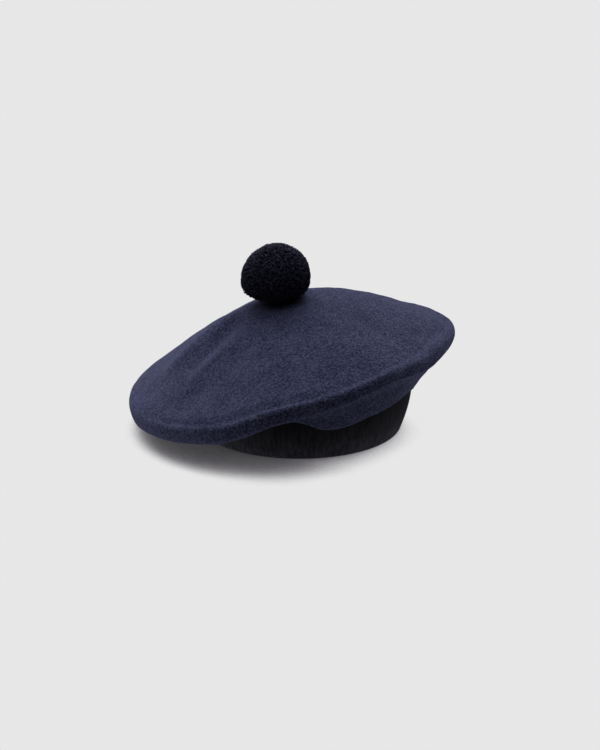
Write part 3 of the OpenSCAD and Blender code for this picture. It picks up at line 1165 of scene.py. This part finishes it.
def floor_glow(tree):
    """How strongly the floor glows: fully to the camera, and on the hat as paper beside it does, which
    is weaker before and behind it and fades with distance."""
    place = place_node(tree)
    aside = maths(tree, "ABSOLUTE", axes_node(tree, place)["X"])
    beside = maths(tree, "MINIMUM", maths(tree, "DIVIDE", aside, BESIDE_REACH), 1.0)
    beside = maths(tree, "ADD", maths(tree, "MULTIPLY", beside, 1 - BESIDE_LEAST), BESIDE_LEAST)
    away = tree.nodes.new("ShaderNodeVectorMath")
    away.operation = "LENGTH"
    tree.links.new(place, away.inputs[0])
    near = ramp(tree, maths(tree, "DIVIDE", away.outputs["Value"], BOUNCE_REACH), BOUNCE_STOPS)
    bounce = maths(tree, "MULTIPLY", near, beside)
    seen = camera_ray(tree)
    unseen = maths(tree, "SUBTRACT", 1.0, seen)
    return maths(tree, "ADD", seen, maths(tree, "MULTIPLY", unseen, bounce))


def floor_colour(tree):
    """Paper with a painted shadow, which the camera sees darken under and close to the hat."""
    shade = tree.nodes.new("ShaderNodeAmbientOcclusion")
    shade.samples = 16
    shade.inputs["Distance"].default_value = SHADOW_REACH * MM
    tree.links.new(socket_vector(tree, *SHADOW_LEAN), shade.inputs["Normal"])
    choose = tree.nodes.new("ShaderNodeMix")
    choose.data_type = "RGBA"
    choose.inputs["A"].default_value = (PAPER, PAPER, PAPER, 1)
    tree.links.new(camera_ray(tree), choose.inputs["Factor"])
    tree.links.new(ramp(tree, shade.outputs["AO"], SHADOW_STOPS), choose.inputs["B"])
    return choose.outputs["Result"]


def build_floor():
    """Pale paper without an edge, as bright as the backdrop; it glows, and carries a painted shadow of the hat."""
    corners = [(x * FLOOR_REACH, y * FLOOR_REACH, FLOOR_Z) for x, y in ((-1, -1), (1, -1), (1, 1), (-1, 1))]
    floor = make_mesh("studio_floor", corners, [(0, 1, 2, 3)])
    material = bpy.data.materials.new("studio_paper")
    material.use_nodes = True
    tree = material.node_tree
    tree.nodes.remove(tree.nodes["Principled BSDF"])
    glow = tree.nodes.new("ShaderNodeEmission")
    tree.links.new(floor_colour(tree), glow.inputs["Color"])
    tree.links.new(floor_glow(tree), glow.inputs["Strength"])
    tree.links.new(glow.outputs[0], tree.nodes["Material Output"].inputs["Surface"])
    floor.data.materials.append(material)


def build_room():
    """A room that is brightest overhead and behind and dark in front, before a pale backdrop."""
    world = bpy.data.worlds.new("studio")
    world.use_nodes = True
    tree = world.node_tree
    coordinates = tree.nodes.new("ShaderNodeTexCoord")
    axes = axes_node(tree, coordinates.outputs["Generated"])
    height = blended(tree, (axes["Z"], 0.80), (axes["X"], -0.15), (axes["Y"], 0.40))
    light = tree.nodes["Background"]
    tree.links.new(ramp(tree, height, ROOM_STOPS), light.inputs["Color"])
    backdrop = tree.nodes.new("ShaderNodeBackground")
    backdrop.inputs["Color"].default_value = (PAPER, PAPER, PAPER, 1)
    choose = tree.nodes.new("ShaderNodeMixShader")
    tree.links.new(camera_ray(tree), choose.inputs["Fac"])
    tree.links.new(light.outputs[0], choose.inputs[1])
    tree.links.new(backdrop.outputs[0], choose.inputs[2])
    tree.links.new(choose.outputs[0], tree.nodes["World Output"].inputs["Surface"])
    bpy.context.scene.world = world


def build_studio():
    """The pale paper, the room and one large soft light from above and behind."""
    build_floor()
    build_room()
    sun("top_back", azimuth=176, elevation=50, strength=SUN_STRENGTH, softness=55)
    view = bpy.context.scene.view_settings
    view.view_transform = "Standard"
    view.look = "None"
    bpy.context.scene.cycles.use_denoising = True


# ---------------------------------------------------------------- build

build_crown(felt_material("crown_felt", dark=(0.004, 0.0045, 0.015), middle=(0.025, 0.0262, 0.065),
                          light=(0.080, 0.083, 0.155), sheen=0.31))
build_headband(rib_material())
build_sweatband(ribbon_material())
sewing_thread = thread_material("sewing_thread", (0.010, 0.011, 0.022), (0.035, 0.038, 0.070))
sew(sewing_thread)
build_label(satin_material())
tie_cord = thread_material("tie_cord", (0.008, 0.008, 0.014), (0.028, 0.029, 0.045))
build_tie(tie_cord, sewing_thread, resin_material())
build_pompom(yarn_material())
build_studio()
build_camera()
